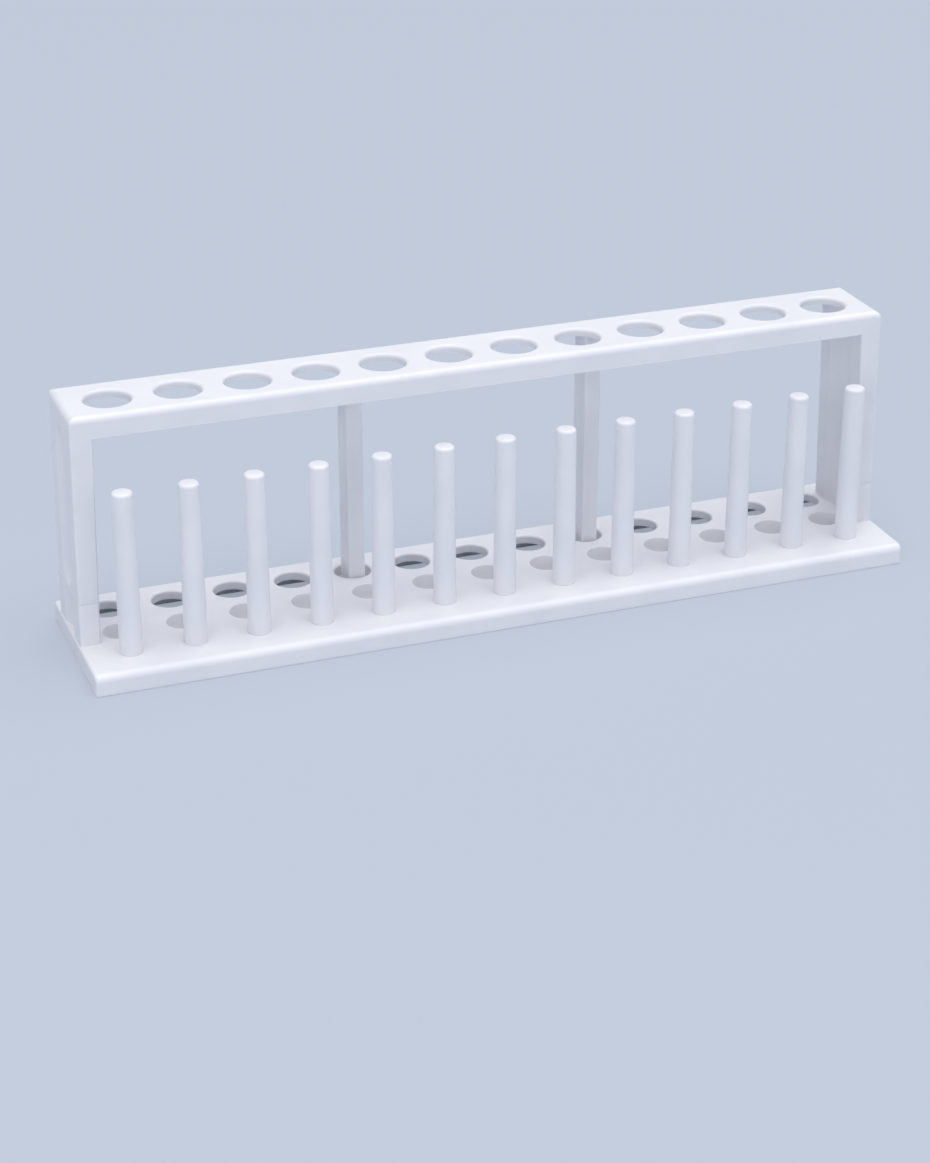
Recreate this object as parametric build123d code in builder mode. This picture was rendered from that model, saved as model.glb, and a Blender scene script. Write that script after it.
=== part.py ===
from build123d import *
import os
from math import sqrt

# Test-tube rack: a shallow base tray with two stub uprights, a row of tapered drying pegs,
# and a lift-off frame whose pierced shelf is held up by two end legs and two middle posts.
# Millimetres. X runs along the rack, -Y is the peg side, Z is up, and the origin is on the
# table under the middle of the base.

os.makedirs("parts", exist_ok=True)

# Base tray
base_length = 350.0
base_depth = 74.0
base_height = 8.8
base_edge_r = 3.0
base_end_r = 1.2
base_foot_r = 0.5

# Both trays are moulded as a plate with a skirt under it; the base has low ribs as well
plate_thickness = 3.2
base_plate_thickness = 3.8
skirt_wall = 2.4
rib_thickness = 1.6
rib_height = 2.2
boss_recess = 0.8
boss_wall = 2.4

# Columns of the base: one peg, one dimple and one drain hole in each
column_count = 13
column_end_margin = 18.4
peg_row_y = -20.0
dimple_row_y = -1.0
drain_row_y = 20.8
drain_diameter = 15.2
drain_rim_r = 1.0
dimple_diameter = 14.0
dimple_depth = 6.2
dimple_floor = 1.8

# Drying pegs
peg_height = 68.2
peg_foot_diameter = 9.4
peg_tip_diameter = 8.4
peg_tip_r = 0.9
spigot_diameter = 6.0
socket_floor = 1.4
press_clearance = 0.03

# Frame: a shelf with a leg at each end; the legs lean out a little towards the base
frame_top_inset = 2.0
frame_foot_inset = 0.6
frame_front_y = -9.5
frame_depth = 36.0
frame_top = 104.5
shelf_skirt = 9.0
shelf_rear_lip = 5.2
shelf_long_edge_r = 2.6
shelf_end_edge_r = 2.9
leg_top_thickness = 9.0
leg_foot_thickness = 8.2
leg_edge_r = 0.9
stub_height = 18.0
seam_chamfer = 0.4

# Tube holes in the shelf
tube_count = 12
tube_end_margin = 19.0
tube_hole_diameter = 18.6
tube_rim_r = 1.5
tube_row_setback = 17.2

# Hollow flutes that thin the legs between their front and back flanges
outer_flange = 10.0
outer_flute_depth = 1.9
outer_flute_drop = 9.0
outer_flute_rise = 1.6
inner_flange = 8.5
inner_flute_depth = 1.9

# Tenons of the legs, two to each leg, in the mortises of the stubs
tenon_thickness = 3.2
tenon_width = 5.0
tenon_length = 12.0
tenon_margin = 2.2
tenon_clearance = 0.08
blind_end_gap = 0.4

# Middle posts, each standing in the drain hole of one column
post_columns = (4, 8)
post_thickness = 7.0
post_rear_setback = 0.3
post_rim_clearance = 0.3
post_edge_r = 0.7
post_flute_width = 6.6
post_flute_depth = 1.1
post_pocket_depth = 2.4
post_pocket_floor = 1.6
post_tenon_thickness = 3.4
post_tenon_width = 6.4
post_tenon_length = 4.4

# Worked out from the sizes above
base_top = base_height
stub_top = base_top + stub_height
shelf_underside = frame_top - shelf_skirt
plate_underside = frame_top - plate_thickness
cavity_top = base_top - base_plate_thickness
frame_length = base_length - 2 * frame_top_inset
frame_half = frame_length / 2
stub_root = base_top - base_end_r / 2
column_pitch = (base_length - 2 * column_end_margin) / (column_count - 1)
tube_pitch = (frame_length - 2 * tube_end_margin) / (tube_count - 1)
outer_flute_width = frame_depth - 2 * outer_flange
inner_flute_width = frame_depth - 2 * inner_flange
frame_back_y = frame_front_y + frame_depth
frame_mid_y = frame_front_y + frame_depth / 2
tube_row_y = frame_front_y + tube_row_setback
post_front_y = drain_row_y - sqrt((drain_diameter / 2)**2 - (post_thickness / 2)**2)
post_front_y += post_rim_clearance
post_rear_y = frame_back_y - post_rear_setback
post_depth = post_rear_y - post_front_y
post_y = (post_front_y + post_rear_y) / 2
post_pocket_top = post_pocket_floor + post_pocket_depth
tenon_row_offset = frame_depth / 2 - tenon_margin - tenon_width / 2


def column_x(index):
    """X of a column of the base, counted from the left end."""
    return (index - (column_count - 1) / 2) * column_pitch


def tube_x(index):
    """X of a tube hole of the shelf, counted from the left end."""
    return (index - (tube_count - 1) / 2) * tube_pitch


def leg_outer_x(z):
    """Distance of a leg's outer face from the middle at a height."""
    share = (frame_top - z) / (frame_top - base_top)
    return frame_half + (frame_top_inset - frame_foot_inset) * share


def leg_inner_x(z):
    """Distance of a leg's inner face from the middle at a height."""
    share = (z - base_top) / (shelf_underside - base_top)
    thickness = leg_foot_thickness + (leg_top_thickness - leg_foot_thickness) * share
    return leg_outer_x(z) - thickness


def flute_radius(width, depth):
    """Radius of the round cutter that leaves a hollow of this width and depth in a flat face."""
    return (width**2 / 4 + depth**2) / (2 * depth)


peg_points = [(column_x(i), peg_row_y) for i in range(column_count)]
dimple_points = [(column_x(i), dimple_row_y) for i in range(column_count)]
open_drain_points = [
    (column_x(i), drain_row_y) for i in range(column_count) if i not in post_columns
]
post_points = [(column_x(i), post_y) for i in post_columns]
post_drain_points = [(column_x(i), drain_row_y) for i in post_columns]
tube_points = [(tube_x(i), tube_row_y) for i in range(tube_count)]
tenon_x = (leg_outer_x(stub_top) + leg_inner_x(stub_top)) / 2
tenon_points = [
    (side * tenon_x, frame_mid_y + end * tenon_row_offset) for side in (-1, 1) for end in (-1, 1)
]
outer_r = flute_radius(outer_flute_width, outer_flute_depth)
inner_r = flute_radius(inner_flute_width, inner_flute_depth)
post_r = flute_radius(post_flute_width, post_flute_depth)
outer_flute_top = frame_top - outer_flute_drop - outer_flute_width / 2
outer_flute_foot = stub_top + outer_flute_rise + outer_flute_width / 2


def outer_flute_x(z):
    """Distance from the middle of the axis of the cutter of an outer flute at a height."""
    return leg_outer_x(z) - outer_flute_depth + outer_r


def make_outer_cutter(bottom, top):
    """Solid that hollows the outer faces of both legs between two heights."""
    with BuildPart() as cutter:
        for side in (-1, 1):
            for z in (bottom, top):
                with BuildSketch(Plane.XY.offset(z)):
                    with Locations((side * outer_flute_x(z), frame_mid_y)):
                        Circle(outer_r)
            loft()
    return cutter.part


def make_inner_cutter(bottom, top):
    """Solid that hollows the inner faces of both legs between two heights."""
    with BuildPart() as cutter:
        for side in (-1, 1):
            for z in (bottom, top):
                inner_x = leg_inner_x(z) + inner_flute_depth - inner_r
                with BuildSketch(Plane.XY.offset(z)):
                    with Locations((side * inner_x, frame_mid_y)):
                        Circle(inner_r)
            loft()
    return cutter.part


def make_stubs():
    """Stub uprights that carry on the outline of the legs down to the base."""
    with BuildPart() as stubs:
        with BuildSketch(Plane.XZ.offset(-frame_front_y)):
            for side in (-1, 1):
                Polygon(
                    (side * leg_outer_x(stub_root), stub_root),
                    (side * leg_outer_x(stub_top), stub_top),
                    (side * leg_inner_x(stub_top), stub_top),
                    (side * leg_inner_x(stub_root), stub_root),
                    align=None,
                )
        extrude(amount=-frame_depth)
        uprights = stubs.edges().filter_by_position(Axis.Z, stub_root + 1, stub_top - 1)
        fillet(uprights, leg_edge_r)
        chamfer(stubs.faces().filter_by_position(Axis.Z, stub_top, stub_top).edges(), seam_chamfer)
        add(make_outer_cutter(base_top, stub_top), mode=Mode.SUBTRACT)
        add(make_inner_cutter(base_top, stub_top), mode=Mode.SUBTRACT)
    return stubs.part


def make_base():
    """Tray with its stubs, sockets, dimples and drain holes."""
    stubs = make_stubs()
    with BuildPart() as base:
        with BuildSketch():
            Rectangle(base_length, base_depth)
        extrude(amount=base_height)
        fillet(base.edges().filter_by(Axis.X).sort_by(Axis.Z)[-2:], base_edge_r)
        end_edges = base.faces().filter_by(Axis.X).edges()
        fillet([edge for edge in end_edges if edge.center().Z > base_foot_r], base_end_r)
        fillet(base.faces().sort_by(Axis.Z)[0].edges(), base_foot_r)

        # Hollow underneath
        with BuildSketch():
            Rectangle(base_length - 2 * skirt_wall, base_depth - 2 * skirt_wall)
        extrude(amount=cavity_top, mode=Mode.SUBTRACT)

        # Ribs between the columns, bosses under the pegs, dimples and posts
        with BuildSketch(Plane.XY.offset(cavity_top - rib_height)):
            for i in range(column_count - 1):
                with Locations(((column_x(i) + column_x(i + 1)) / 2, 0)):
                    Rectangle(rib_thickness, base_depth - skirt_wall)
        extrude(amount=rib_height)
        with BuildSketch(Plane.XY.offset(boss_recess)):
            with Locations(*peg_points):
                Circle(spigot_diameter / 2 + boss_wall)
            with Locations(*post_drain_points):
                Circle(drain_diameter / 2 + boss_wall)
        extrude(amount=cavity_top - boss_recess)
        dimple_boss_foot = base_top - dimple_depth - dimple_floor
        with BuildSketch(Plane.XY.offset(dimple_boss_foot)):
            with Locations(*dimple_points):
                Circle(dimple_diameter / 2 + dimple_floor / 2)
        extrude(amount=cavity_top - dimple_boss_foot)

        # Stubs, with the mortises of the legs
        add(stubs)
        with BuildSketch(Plane.XY.offset(stub_top)):
            with Locations(*tenon_points):
                Rectangle(
                    tenon_thickness + 2 * tenon_clearance, tenon_width + 2 * tenon_clearance
                )
        extrude(amount=-(tenon_length + blind_end_gap), mode=Mode.SUBTRACT)

        # Round sockets of the pegs
        with BuildSketch(Plane.XY.offset(base_top)):
            with Locations(*peg_points):
                Circle(spigot_diameter / 2 + press_clearance)
        extrude(amount=-(base_top - boss_recess - socket_floor), mode=Mode.SUBTRACT)

        # Dimples that seat the round ends of tubes
        dimple_r = flute_radius(dimple_diameter, dimple_depth)
        with Locations(*[(x, y, base_top - dimple_depth + dimple_r) for x, y in dimple_points]):
            Sphere(dimple_r, mode=Mode.SUBTRACT)

        # Drain holes: open ones, and the two that the posts stand in
        with BuildSketch(Plane.XY.offset(base_top)):
            with Locations(*open_drain_points):
                Circle(drain_diameter / 2)
        extrude(amount=-base_height, mode=Mode.SUBTRACT)
        with BuildSketch(Plane.XY.offset(base_top)):
            with Locations(*post_drain_points):
                Circle(drain_diameter / 2)
        extrude(amount=-(base_top - post_pocket_top), mode=Mode.SUBTRACT)
        with BuildSketch(Plane.XY.offset(post_pocket_top)):
            with Locations(*post_points):
                Rectangle(post_thickness + 2 * tenon_clearance, post_depth + 2 * tenon_clearance)
        extrude(amount=-post_pocket_depth, mode=Mode.SUBTRACT)
        rims = base.edges().filter_by(GeomType.CIRCLE).filter_by(
            lambda e: abs(e.radius - drain_diameter / 2) < 0.01
            and abs(e.center().Z - base_top) < 0.01
        )
        fillet(rims, drain_rim_r)
    base.part.label = "base_tray"
    return base.part


def make_frame():
    """Shelf and end legs in one moulding."""
    with BuildPart() as frame:
        with BuildSketch(Plane.XZ.offset(-frame_front_y)) as outline:
            Polygon(
                (-leg_outer_x(stub_top), stub_top),
                (leg_outer_x(stub_top), stub_top),
                (frame_half, frame_top),
                (-frame_half, frame_top),
                align=None,
            )
            fillet(outline.vertices().sort_by(Axis.Y)[-2:], shelf_end_edge_r)
            Polygon(
                (-leg_inner_x(stub_top), stub_top),
                (leg_inner_x(stub_top), stub_top),
                (leg_inner_x(shelf_underside), shelf_underside),
                (-leg_inner_x(shelf_underside), shelf_underside),
                align=None,
                mode=Mode.SUBTRACT,
            )
        extrude(amount=-frame_depth)
        uprights = frame.edges().filter_by_position(Axis.Z, stub_top + 1, shelf_underside - 1)
        fillet([edge for edge in uprights if edge.length > shelf_skirt], leg_edge_r)
        with BuildSketch(Plane.YZ.offset(-base_length)) as section:
            with Locations((frame_mid_y, 0)):
                Rectangle(frame_depth, frame_top, align=(Align.CENTER, Align.MIN))
            fillet(section.vertices().sort_by(Axis.Y)[-2:], shelf_long_edge_r)
        extrude(amount=2 * base_length, mode=Mode.INTERSECT)

        # Hollow under the shelf: a full skirt in front and a low lip at the back
        cavity_length = 2 * leg_inner_x(shelf_underside)
        with BuildSketch(Plane.XY.offset(shelf_underside)):
            with Locations((0, frame_mid_y)):
                Rectangle(cavity_length, frame_depth - 2 * skirt_wall)
        extrude(amount=plate_underside - shelf_underside, mode=Mode.SUBTRACT)
        with BuildSketch(Plane.XY.offset(shelf_underside)):
            with Locations((0, frame_back_y - skirt_wall)):
                Rectangle(cavity_length, 2 * skirt_wall, align=(Align.CENTER, Align.MIN))
        extrude(amount=shelf_skirt - shelf_rear_lip, mode=Mode.SUBTRACT)

        # Sockets of the posts, with the outline of a post
        with BuildSketch(Plane.XY.offset(shelf_underside)):
            with Locations(*post_points):
                RectangleRounded(post_thickness, post_depth, post_edge_r)
        extrude(amount=plate_underside - shelf_underside)
        with BuildSketch(Plane.XY.offset(shelf_underside)):
            with Locations(*post_points):
                Rectangle(
                    post_tenon_thickness + 2 * tenon_clearance,
                    post_tenon_width + 2 * tenon_clearance,
                )
        extrude(amount=post_tenon_length + blind_end_gap, mode=Mode.SUBTRACT)

        # Tube holes
        with BuildSketch(Plane.XY.offset(shelf_underside)):
            with Locations(*tube_points):
                Circle(tube_hole_diameter / 2)
        extrude(amount=shelf_skirt, mode=Mode.SUBTRACT)
        rims = frame.edges().filter_by(GeomType.CIRCLE).filter_by(
            lambda e: abs(e.radius - tube_hole_diameter / 2) < 0.01
            and abs(e.center().Z - frame_top) < 0.01
        )
        fillet(rims, tube_rim_r)

        # Flutes: the outer ones are arched at both ends
        add(make_inner_cutter(stub_top, shelf_underside), mode=Mode.SUBTRACT)
        add(make_outer_cutter(outer_flute_foot, outer_flute_top), mode=Mode.SUBTRACT)
        for z in (outer_flute_foot, outer_flute_top):
            for side in (-1, 1):
                with Locations((side * outer_flute_x(z), frame_mid_y, z)):
                    Sphere(outer_r, mode=Mode.SUBTRACT)

        # Tenons under the legs
        with BuildSketch(Plane.XY.offset(stub_top)):
            with Locations(*tenon_points):
                Rectangle(tenon_thickness, tenon_width)
        extrude(amount=-tenon_length)
    frame.part.label = "upper_frame"
    return frame.part


def make_post(x, name):
    """Flat post with a hollow flute in each side and a tenon on top."""
    with BuildPart() as post:
        with BuildSketch(Plane.XY.offset(post_pocket_floor)):
            with Locations((x, post_y)):
                Rectangle(post_thickness, post_depth)
        extrude(amount=shelf_underside - post_pocket_floor)
        fillet(post.edges().filter_by(Axis.Z), post_edge_r)
        for side in (-1, 1):
            flute_x = x + side * (post_thickness / 2 - post_flute_depth + post_r)
            with BuildSketch(Plane.XY.offset(post_pocket_floor)):
                with Locations((flute_x, post_y)):
                    Circle(post_r)
            extrude(amount=shelf_underside - post_pocket_floor, mode=Mode.SUBTRACT)
        with BuildSketch(Plane.XY.offset(shelf_underside)):
            with Locations((x, post_y)):
                Rectangle(post_tenon_thickness, post_tenon_width)
        extrude(amount=post_tenon_length)
    post.part.label = name
    return post.part


def make_peg(x, name):
    """Tapered drying peg with a rounded tip, on a spigot that presses into the base."""
    spigot_length = base_top - boss_recess - socket_floor - blind_end_gap
    upright = Plane(origin=(x, peg_row_y, base_top), x_dir=(1, 0, 0), z_dir=(0, -1, 0))
    with BuildPart() as peg:
        with BuildSketch(upright):
            Polygon(
                (0, -spigot_length),
                (spigot_diameter / 2, -spigot_length),
                (spigot_diameter / 2, 0),
                (peg_foot_diameter / 2, 0),
                (peg_tip_diameter / 2, peg_height),
                (0, peg_height),
                align=None,
            )
        revolve(axis=Axis((x, peg_row_y, 0), (0, 0, 1)))
        fillet(peg.faces().sort_by(Axis.Z)[-1].edges(), peg_tip_r)
    peg.part.label = name
    return peg.part


parts = [make_base(), make_frame()]
for i, name in zip(post_columns, ("post_left", "post_right")):
    parts.append(make_post(column_x(i), name))
for i in range(column_count):
    parts.append(make_peg(column_x(i), f"drying_peg_{i + 1:02d}"))

for part in parts:
    export_step(part, f"parts/{part.label}.step")
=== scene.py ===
"""Dresses the test tube rack and sets it in a plain studio."""

import math

import bmesh
import bpy
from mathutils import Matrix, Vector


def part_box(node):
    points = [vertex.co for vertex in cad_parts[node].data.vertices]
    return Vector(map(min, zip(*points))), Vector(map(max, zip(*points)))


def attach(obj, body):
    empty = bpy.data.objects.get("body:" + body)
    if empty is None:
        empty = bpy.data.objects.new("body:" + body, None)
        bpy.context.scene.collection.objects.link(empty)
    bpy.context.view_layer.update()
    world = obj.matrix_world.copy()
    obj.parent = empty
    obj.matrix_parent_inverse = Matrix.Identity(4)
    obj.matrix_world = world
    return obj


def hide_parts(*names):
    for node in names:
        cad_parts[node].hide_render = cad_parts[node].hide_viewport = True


bl_info = {
    "name": "Test Tube Rack",
    "version": (1, 0, 0),
    "blender": (4, 5, 0),
    "location": "View3D > Sidebar > Rack",
    "description": "Finishes for a moulded test tube rack, and a studio to see it in",
    "category": "Object",
}

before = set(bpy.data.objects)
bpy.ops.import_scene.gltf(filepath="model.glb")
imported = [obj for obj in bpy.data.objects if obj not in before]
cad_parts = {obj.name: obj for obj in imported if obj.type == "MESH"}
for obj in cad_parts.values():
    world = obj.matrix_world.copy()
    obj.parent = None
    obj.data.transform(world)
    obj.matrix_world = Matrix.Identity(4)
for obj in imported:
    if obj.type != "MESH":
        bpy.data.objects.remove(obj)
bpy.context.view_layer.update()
MM = 0.001

# Change of roughness from the best polished skin to the dullest streak
POLISHED = -0.02
STREAKED = 0.04

# Streaks in the skin, 60 mm along the draw of the melt and 6 mm across it, as repeats per metre
ALONG = 16.0
ACROSS = 160.0

# Step from one piece's clouds to the next one's, so that no two pieces match
CLOUD_STEP = (13 * MM, 29 * MM, 17 * MM)

# Polypropylene, which lets light in by a millimetre or two
PLASTIC_IOR = 1.49
GLOW_SHARE = 0.15
GLOW_REACH = 1.5 * MM
GLOW_TINT = (1.0, 0.95, 0.9)

# Inset that keeps the flat of a peg's tip clear of its round edge
TIP_INSET = 0.15 * MM

# Lamps at the front, and the room's light
LEFT_LAMP = (-1.1, -1.0, 0.6)
RIGHT_LAMP = (0.7, -1.3, 0.6)
LAMP_WIDTH = 1.0
ROOM_COLOUR = "#E3E6F1"


def hex_colour(text):
    """Linear RGBA of an sRGB hex colour."""
    channels = [int(text[i : i + 2], 16) / 255 for i in (1, 3, 5)]
    linear = [c / 12.92 if c <= 0.04045 else ((c + 0.055) / 1.055) ** 2.4 for c in channels]
    return (*linear, 1.0)


def add_node(tree, kind, settings=None, sockets=None):
    """A node of that kind, with its settings, and each socket given a value or a link."""
    node = tree.nodes.new(kind)
    for name, value in (settings or {}).items():
        setattr(node, name, value)
    for name, value in (sockets or {}).items():
        if isinstance(value, bpy.types.NodeSocket):
            tree.links.new(value, node.inputs[name])
        else:
            node.inputs[name].default_value = value
    return node


class RackFinish(bpy.types.PropertyGroup):
    """Colours and surface of the moulded plastic."""

    bright: bpy.props.FloatVectorProperty(
        name="Plastic",
        description="Main colour of the white plastic",
        subtype="COLOR",
        size=4,
        min=0.0,
        max=1.0,
        default=hex_colour("#E9E9ED"),
    )
    dull: bpy.props.FloatVectorProperty(
        name="Clouding",
        description="Colour of the faint clouds that the melt leaves in the plastic",
        subtype="COLOR",
        size=4,
        min=0.0,
        max=1.0,
        default=hex_colour("#E4E5EA"),
    )
    roughness: bpy.props.FloatProperty(
        name="Roughness",
        description="Roughness of the moulded skin",
        subtype="FACTOR",
        min=0.0,
        max=1.0,
        default=0.42,
    )
    cloud_size: bpy.props.FloatProperty(
        name="Cloud size",
        description="Width of one cloud in the plastic",
        unit="LENGTH",
        subtype="DISTANCE",
        min=0.001,
        default=24 * MM,
    )
    grain_size: bpy.props.FloatProperty(
        name="Grain size",
        description="Width of one pit of the mould's skin, drawn coarse enough to show",
        unit="LENGTH",
        subtype="DISTANCE",
        min=0.0001,
        default=0.7 * MM,
    )
    grain_depth: bpy.props.FloatProperty(
        name="Grain depth",
        description="Depth of the mould's skin",
        unit="LENGTH",
        subtype="DISTANCE",
        min=0.0,
        default=0.004 * MM,
    )


class RackDimpleShade(bpy.types.PropertyGroup):
    """Painted shade in the dimples of the base: a grey that darkens the plastic deeper down in each
    dimple.
    """

    # Colour of the painted shade where it is darkest
    tint: bpy.props.FloatVectorProperty(
        name="Shade",
        description="Colour of the film where it is thickest",
        subtype="COLOR",
        size=4,
        min=0.0,
        max=1.0,
        default=hex_colour("#C9C9CE"),
    )
    rim: bpy.props.FloatProperty(
        name="Rim",
        description="Height of the base's top, where the film begins",
        unit="LENGTH",
        subtype="DISTANCE",
        default=8.8 * MM,
    )
    fade: bpy.props.FloatProperty(
        name="Fade",
        description="Depth below the rim at which the film is thickest",
        unit="LENGTH",
        subtype="DISTANCE",
        default=4.5 * MM,
    )
    pitch: bpy.props.FloatProperty(
        name="Pitch",
        description="Distance from one column to the next",
        unit="LENGTH",
        subtype="DISTANCE",
        default=26.1 * MM,
    )
    row: bpy.props.FloatProperty(
        name="Row",
        description="Place of the row of dimples, from front to back",
        unit="LENGTH",
        subtype="DISTANCE",
        default=-1 * MM,
    )
    reach: bpy.props.FloatProperty(
        name="Reach",
        description="Distance from the middle of a dimple that still has film",
        unit="LENGTH",
        subtype="DISTANCE",
        default=7.2 * MM,
    )


class RackPegs(bpy.types.PropertyGroup):
    """Shape of the drying pegs; their places come from the frame."""

    seat: bpy.props.FloatProperty(
        name="Seat",
        description="Height of the base's top, where the pegs stand",
        unit="LENGTH",
        subtype="DISTANCE",
        default=8.8 * MM,
    )
    tip_width: bpy.props.FloatProperty(
        name="Tip width",
        description="Width of a peg at its tip",
        unit="LENGTH",
        subtype="DISTANCE",
        default=8.4 * MM,
    )
    tip_round: bpy.props.FloatProperty(
        name="Tip rounding",
        description="Radius of the rounded edge of the tip",
        unit="LENGTH",
        subtype="DISTANCE",
        default=1.3 * MM,
    )
    spigot_width: bpy.props.FloatProperty(
        name="Spigot width",
        description="Width of the spigot that holds a peg in the base",
        unit="LENGTH",
        subtype="DISTANCE",
        default=6 * MM,
    )


class RackStudio(bpy.types.PropertyGroup):
    """The floor, the lights and the camera."""

    floor_colour: bpy.props.FloatVectorProperty(
        name="Floor",
        description="Colour of the floor",
        subtype="COLOR",
        size=4,
        min=0.0,
        max=1.0,
        default=hex_colour("#BDC6D4"),
    )
    floor_glow: bpy.props.FloatProperty(
        name="Floor glow",
        description="Share of the floor's colour that shows without any lamp",
        subtype="FACTOR",
        min=0.0,
        max=1.0,
        default=0.6,
    )
    floor_size: bpy.props.FloatProperty(
        name="Floor size",
        description="Width of the floor",
        unit="LENGTH",
        subtype="DISTANCE",
        default=16.0,
    )
    key_strength: bpy.props.FloatProperty(
        name="Key", description="Strength of the broad light overhead", default=2.15
    )
    key_width: bpy.props.FloatProperty(
        name="Key width",
        description="Angle that the light overhead fills, which softens its shadows",
        subtype="ANGLE",
        default=math.radians(72),
    )
    key_from: bpy.props.FloatVectorProperty(
        name="Key direction",
        description="Direction that the light overhead comes from",
        subtype="DIRECTION",
        size=3,
        default=(0.1, -0.04, 1.0),
    )
    left_power: bpy.props.FloatProperty(
        name="Left fill", description="Power of the lamp at the front left, in watts", default=4.2
    )
    right_power: bpy.props.FloatProperty(
        name="Right fill", description="Power of the lamp at the front right, in watts", default=2.7
    )
    room_strength: bpy.props.FloatProperty(
        name="Room", description="Strength of the light from all round", default=0.48
    )
    camera_turn: bpy.props.FloatProperty(
        name="Turn",
        description="Heading of the camera, from straight ahead of the pegs",
        subtype="ANGLE",
        default=math.radians(-20.46),
    )
    camera_tilt: bpy.props.FloatProperty(
        name="Tilt",
        description="How far the camera looks down",
        subtype="ANGLE",
        default=math.radians(25.51),
    )
    camera_place: bpy.props.FloatVectorProperty(
        name="Camera",
        description="Where the camera stands",
        subtype="TRANSLATION",
        unit="LENGTH",
        size=3,
        default=(-0.3527, -0.9189, 0.4737),
    )
    lens: bpy.props.FloatProperty(
        name="Lens", description="Focal length in millimetres", default=80.88
    )


def moulded_plastic(name, finish, draw, roughness, seed):
    """White polypropylene as it leaves a polished mould.

    It is a waxy white that lets a little light in, with faint clouds, a fine skin and long dull
    streaks that follow the melt along the axis named in draw. The seed sets the clouds apart.
    """
    material = bpy.data.materials.new(name)
    material.use_nodes = True
    tree = material.node_tree
    shader = tree.nodes["Principled BSDF"]
    place = add_node(tree, "ShaderNodeTexCoord").outputs["Object"]
    shift = tuple(step * seed for step in CLOUD_STEP)

    # Clouds in the melt
    clouds = add_node(
        tree,
        "ShaderNodeTexNoise",
        sockets={
            "Vector": add_node(
                tree, "ShaderNodeMapping", sockets={"Vector": place, "Location": shift}
            ).outputs["Vector"],
            "Scale": 1 / finish.cloud_size,
            "Detail": 3.0,
            "Roughness": 0.5,
        },
    )
    cloud_share = add_node(
        tree,
        "ShaderNodeMapRange",
        sockets={"Value": clouds.outputs["Fac"], "From Min": 0.38, "From Max": 0.66},
    )
    colour = add_node(
        tree,
        "ShaderNodeMix",
        {"data_type": "RGBA"},
        {"Factor": cloud_share.outputs["Result"], "A": finish.bright, "B": finish.dull},
    )
    tree.links.new(colour.outputs["Result"], shader.inputs["Base Color"])

    # Dull streaks along the draw of the melt
    stretch = {"X": (ALONG, ACROSS, ACROSS), "Z": (ACROSS, ACROSS, ALONG)}[draw]
    streaks = add_node(
        tree,
        "ShaderNodeTexNoise",
        sockets={
            "Vector": add_node(
                tree, "ShaderNodeMapping", sockets={"Vector": place, "Scale": stretch}
            ).outputs["Vector"],
            "Scale": 1.0,
            "Detail": 2.0,
        },
    )
    rough = add_node(
        tree,
        "ShaderNodeMapRange",
        sockets={
            "Value": streaks.outputs["Fac"],
            "From Min": 0.3,
            "From Max": 0.7,
            "To Min": roughness + POLISHED,
            "To Max": roughness + STREAKED,
        },
    )
    tree.links.new(rough.outputs["Result"], shader.inputs["Roughness"])

    # Skin of the mould
    skin = add_node(
        tree,
        "ShaderNodeTexNoise",
        sockets={"Vector": place, "Scale": 1 / finish.grain_size, "Detail": 2.0},
    )
    bump = add_node(
        tree,
        "ShaderNodeBump",
        sockets={"Strength": 0.5, "Distance": finish.grain_depth, "Height": skin.outputs["Fac"]},
    )
    tree.links.new(bump.outputs["Normal"], shader.inputs["Normal"])

    shader.inputs["IOR"].default_value = PLASTIC_IOR
    shader.inputs["Subsurface Weight"].default_value = GLOW_SHARE
    shader.inputs["Subsurface Radius"].default_value = GLOW_TINT
    shader.inputs["Subsurface Scale"].default_value = GLOW_REACH
    return material


def painted_dimple_shade(material, film):
    """Paints shade into each dimple, greying the plastic more the deeper it is."""
    tree = material.node_tree
    shader = tree.nodes["Principled BSDF"]
    place = add_node(tree, "ShaderNodeTexCoord").outputs["Object"]
    axes = add_node(tree, "ShaderNodeSeparateXYZ", sockets={"Vector": place}).outputs
    depth = add_node(
        tree,
        "ShaderNodeMapRange",
        sockets={"Value": axes["Z"], "From Min": film.rim, "From Max": film.rim - film.fade},
    )
    # The middle column stands at zero, so one wrap puts every column there
    column = add_node(
        tree,
        "ShaderNodeMath",
        {"operation": "WRAP"},
        {0: axes["X"], 1: film.pitch / 2, 2: -film.pitch / 2},
    )
    spot = add_node(
        tree, "ShaderNodeCombineXYZ", sockets={"X": column.outputs["Value"], "Y": axes["Y"]}
    )
    off = add_node(
        tree,
        "ShaderNodeVectorMath",
        {"operation": "DISTANCE"},
        {0: spot.outputs["Vector"], 1: (0.0, film.row, 0.0)},
    )
    inside = add_node(
        tree,
        "ShaderNodeMath",
        {"operation": "LESS_THAN"},
        {0: off.outputs["Value"], 1: film.reach},
    )
    share = add_node(
        tree,
        "ShaderNodeMath",
        {"operation": "MULTIPLY"},
        {0: depth.outputs["Result"], 1: inside.outputs["Value"]},
    )
    # Painted shade: the colour turns grey inside each dimple, more so deeper down
    clean = shader.inputs["Base Color"].links[0].from_socket
    mix = add_node(
        tree,
        "ShaderNodeMix",
        {"data_type": "RGBA"},
        {"Factor": share.outputs["Value"], "A": clean, "B": film.tint},
    )
    tree.links.new(mix.outputs["Result"], shader.inputs["Base Color"])


def seen_rays(tree):
    """1 for the rays that show a surface to the eye or in a reflection, and 0 for the rest."""
    path = add_node(tree, "ShaderNodeLightPath").outputs
    seen = path["Is Camera Ray"]
    for ray in ("Is Glossy Ray", "Is Transmission Ray"):
        both = add_node(tree, "ShaderNodeMath", {"operation": "MAXIMUM"}, {0: seen, 1: path[ray]})
        seen = both.outputs["Value"]
    return seen


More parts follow.
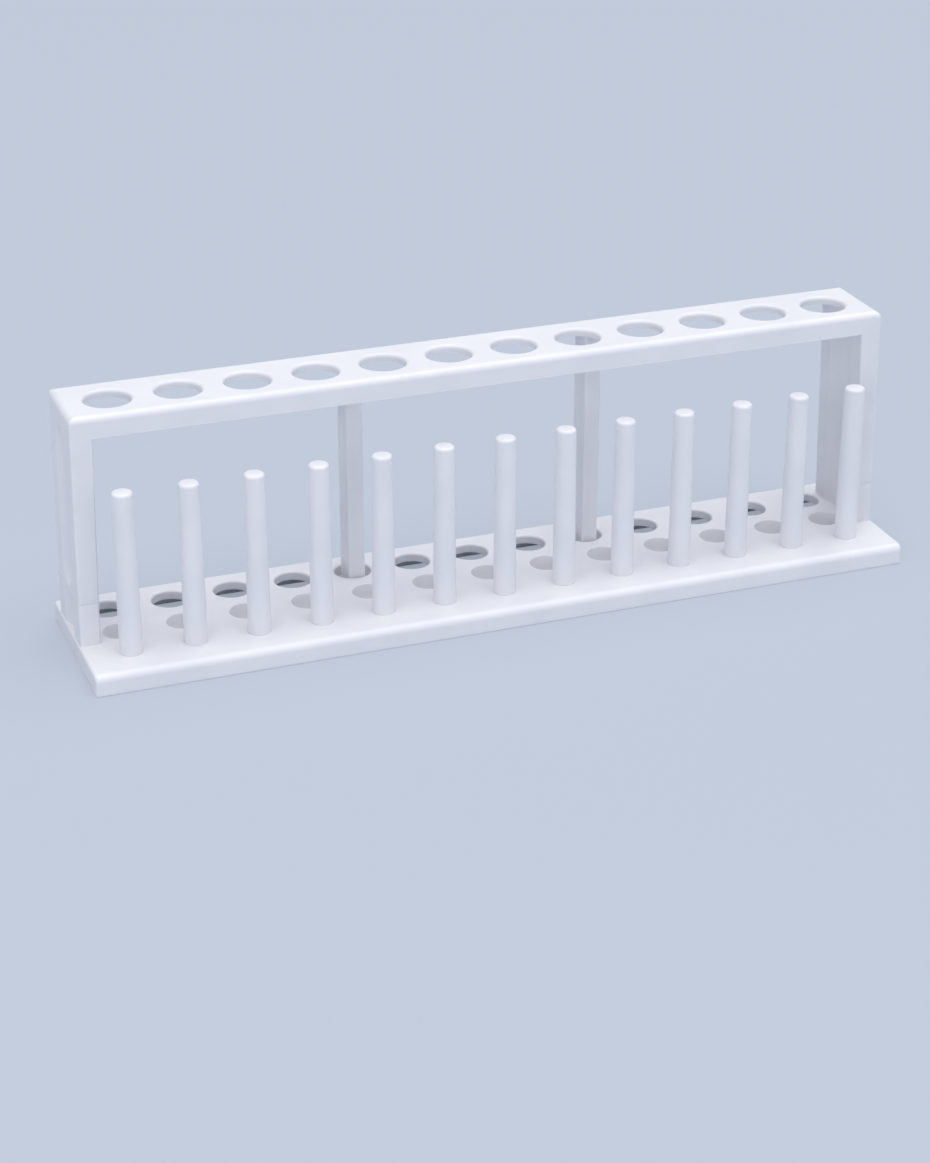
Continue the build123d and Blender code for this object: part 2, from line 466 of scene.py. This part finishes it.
def painted_board(colour, glow_share):
    """Matt paint on board: no gloss, and for the eye a little light of its own in the shadows."""
    material = bpy.data.materials.new("matt painted board")
    material.use_nodes = True
    tree = material.node_tree
    shader = tree.nodes["Principled BSDF"]
    shader.inputs["Base Color"].default_value = colour
    shader.inputs["Roughness"].default_value = 0.8
    glow = add_node(tree, "ShaderNodeEmission", sockets={"Color": colour, "Strength": 1.0})
    share = add_node(
        tree, "ShaderNodeMath", {"operation": "MULTIPLY"}, {0: seen_rays(tree), 1: glow_share}
    )
    mix = add_node(
        tree,
        "ShaderNodeMixShader",
        sockets={0: share.outputs["Value"], 1: shader.outputs["BSDF"], 2: glow.outputs["Emission"]},
    )
    tree.links.new(mix.outputs["Shader"], tree.nodes["Material Output"].inputs["Surface"])
    return material


def dress(node, material):
    """Gives every slot of a CAD node that material."""
    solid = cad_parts[node]
    if not solid.material_slots:
        solid.data.materials.append(material)
    for place in solid.material_slots:
        place.material = material


class RACK_OT_base(bpy.types.Operator):
    """Finish the base tray"""

    bl_idname = "rack.base"
    bl_label = "Base Tray"

    def execute(self, context):
        finish = context.scene.rack_finish
        material = moulded_plastic("moulded PP, base", finish, "X", finish.roughness, 1)
        # Paints shade into the dimples of the base
        painted_dimple_shade(material, context.scene.rack_film)
        dress("base_tray", material)
        return {"FINISHED"}


class RACK_OT_frame(bpy.types.Operator):
    """Finish the shelf and its legs"""

    bl_idname = "rack.frame"
    bl_label = "Upper Frame"

    def execute(self, context):
        finish = context.scene.rack_finish
        dress("upper_frame", moulded_plastic("moulded PP, frame", finish, "X", finish.roughness, 2))
        return {"FINISHED"}


class RACK_OT_posts(bpy.types.Operator):
    """Finish the two middle posts"""

    bl_idname = "rack.posts"
    bl_label = "Middle Posts"

    def execute(self, context):
        finish = context.scene.rack_finish
        material = moulded_plastic("moulded PP, posts", finish, "Z", finish.roughness, 3)
        for node in ("post_left", "post_right"):
            dress(node, material)
        return {"FINISHED"}


def pick_faces(mesh, test):
    """Selects, in edit mode, the faces whose centre and normal pass the test, and no others."""
    bpy.ops.mesh.select_all(action="DESELECT")
    bpy.ops.mesh.select_mode(type="FACE")
    shape = bmesh.from_edit_mesh(mesh)
    for face in shape.faces:
        face.select_set(test(face.calc_center_median(), face.normal))
    bmesh.update_edit_mesh(mesh)


class RACK_OT_pegs(bpy.types.Operator):
    """Turn one drying peg, and set its copies along the base"""

    bl_idname = "rack.pegs"
    bl_label = "Drying Pegs"

    def execute(self, context):
        finish = context.scene.rack_finish
        pegs = context.scene.rack_pegs
        nodes = sorted(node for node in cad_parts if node.startswith("drying_peg"))
        low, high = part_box(nodes[0])
        middle = ((low[0] + high[0]) / 2, (low[1] + high[1]) / 2)
        foot_width = high[0] - low[0]
        top = high[2]

        bpy.ops.object.select_all(action="DESELECT")
        bpy.ops.mesh.primitive_cylinder_add(
            vertices=96,
            radius=foot_width / 2,
            depth=top - pegs.seat,
            location=(*middle, (top + pegs.seat) / 2),
        )
        first = context.object
        bpy.ops.object.transform_apply(location=True, rotation=True, scale=True)
        bpy.ops.object.mode_set(mode="EDIT")

        # Taper towards the tip
        pick_faces(first.data, lambda centre, normal: normal.z > 0.9)
        taper = pegs.tip_width / foot_width
        bpy.ops.transform.resize(value=(taper, taper, 1), center_override=(*middle, top))

        # Rounded edge of the tip
        bpy.ops.mesh.bevel(offset=pegs.tip_round, segments=6, profile=0.5, affect="EDGES")
        pick_faces(first.data, lambda centre, normal: normal.z > 0.99)
        bpy.ops.mesh.inset(thickness=TIP_INSET)

        # Shoulder and spigot underneath
        pick_faces(first.data, lambda centre, normal: normal.z < -0.9)
        bpy.ops.mesh.inset(thickness=(foot_width - pegs.spigot_width) / 2)
        bpy.ops.mesh.extrude_region_move(
            TRANSFORM_OT_translate={"value": (0, 0, low[2] - pegs.seat)}
        )
        bpy.ops.object.mode_set(mode="OBJECT")
        bpy.ops.object.shade_smooth_by_angle(angle=math.radians(35))
        material = moulded_plastic("moulded PP, pegs", finish, "Z", finish.roughness - 0.05, 4)
        first.data.materials.append(material)

        for count, node in enumerate(nodes, 1):
            if node == nodes[0]:
                peg = first
            else:
                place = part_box(node)[0]
                bpy.ops.object.select_all(action="DESELECT")
                first.select_set(True)
                context.view_layer.objects.active = first
                bpy.ops.object.duplicate(linked=False)
                peg = context.object
                bpy.ops.transform.translate(value=(place[0] - low[0], place[1] - low[1], 0))
                bpy.ops.object.transform_apply(location=True, rotation=True, scale=True)
            peg.name = f"peg_{count:02d}"
            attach(peg, "base")
            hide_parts(node)
        return {"FINISHED"}


class RACK_OT_studio(bpy.types.Operator):
    """Set up the floor, the lights and the camera"""

    bl_idname = "rack.studio"
    bl_label = "Studio"

    def execute(self, context):
        studio = context.scene.rack_studio
        bpy.ops.object.select_all(action="DESELECT")
        bpy.ops.mesh.primitive_plane_add(size=studio.floor_size, location=(0, 0, 0))
        floor = context.object
        floor.name = "floor"
        floor.data.materials.append(painted_board(studio.floor_colour, studio.floor_glow))

        key = bpy.data.lights.new("key", "SUN")
        key.energy = studio.key_strength
        key.angle = studio.key_width
        left = bpy.data.lights.new("fill left", "AREA")
        left.energy = studio.left_power
        right = bpy.data.lights.new("fill right", "AREA")
        right.energy = studio.right_power
        left.size = right.size = LAMP_WIDTH
        for light, place in ((key, studio.key_from), (left, LEFT_LAMP), (right, RIGHT_LAMP)):
            lamp = bpy.data.objects.new(light.name, light)
            context.scene.collection.objects.link(lamp)
            lamp.location = place
            away = lamp.location.normalized()
            lamp.rotation_euler = away.to_track_quat("Z", "Y").to_euler()

        world = bpy.data.worlds.new("studio")
        context.scene.world = world
        world.use_nodes = True
        tree = world.node_tree
        room = tree.nodes["Background"]
        room.inputs["Color"].default_value = hex_colour(ROOM_COLOUR)
        room.inputs["Strength"].default_value = studio.room_strength
        # Behind the floor's far edge the eye meets the floor's own colour
        sky = add_node(tree, "ShaderNodeBackground", sockets={"Color": studio.floor_colour})
        mix = add_node(
            tree,
            "ShaderNodeMixShader",
            sockets={
                0: seen_rays(tree),
                1: room.outputs["Background"],
                2: sky.outputs["Background"],
            },
        )
        tree.links.new(mix.outputs["Shader"], tree.nodes["World Output"].inputs["Surface"])

        camera = bpy.data.objects.new("camera", bpy.data.cameras.new("camera"))
        context.scene.collection.objects.link(camera)
        camera.location = studio.camera_place
        camera.rotation_euler = (math.pi / 2 - studio.camera_tilt, 0, studio.camera_turn)
        camera.data.sensor_width = 36.0
        camera.data.lens = studio.lens
        context.scene.camera = camera
        context.scene.view_settings.view_transform = "Standard"
        return {"FINISHED"}


class RACK_PT_panel(bpy.types.Panel):
    """Lists the steps of the rack"""

    bl_idname = "RACK_PT_panel"
    bl_label = "Test Tube Rack"
    bl_space_type = "VIEW_3D"
    bl_region_type = "UI"
    bl_category = "Rack"

    def draw(self, context):
        scene = context.scene
        groups = (scene.rack_finish, scene.rack_film, scene.rack_pegs, scene.rack_studio)
        for settings in groups:
            for name in settings.bl_rna.properties.keys():
                if name not in ("rna_type", "name"):
                    self.layout.prop(settings, name)
        for operator in OPERATORS:
            self.layout.operator(operator.bl_idname)


OPERATORS = (RACK_OT_base, RACK_OT_frame, RACK_OT_posts, RACK_OT_pegs, RACK_OT_studio)
CLASSES = (RackFinish, RackDimpleShade, RackPegs, RackStudio, *OPERATORS, RACK_PT_panel)


def register():
    for cls in CLASSES:
        bpy.utils.register_class(cls)
    bpy.types.Scene.rack_finish = bpy.props.PointerProperty(type=RackFinish)
    bpy.types.Scene.rack_film = bpy.props.PointerProperty(type=RackDimpleShade)
    bpy.types.Scene.rack_pegs = bpy.props.PointerProperty(type=RackPegs)
    bpy.types.Scene.rack_studio = bpy.props.PointerProperty(type=RackStudio)


def unregister():
    del bpy.types.Scene.rack_studio
    del bpy.types.Scene.rack_pegs
    del bpy.types.Scene.rack_film
    del bpy.types.Scene.rack_finish
    for cls in reversed(CLASSES):
        bpy.utils.unregister_class(cls)


def main():
    register()
    bpy.ops.rack.base()
    bpy.ops.rack.frame()
    bpy.ops.rack.posts()
    bpy.ops.rack.pegs()
    bpy.ops.rack.studio()


if __name__ == "__main__":
    main()
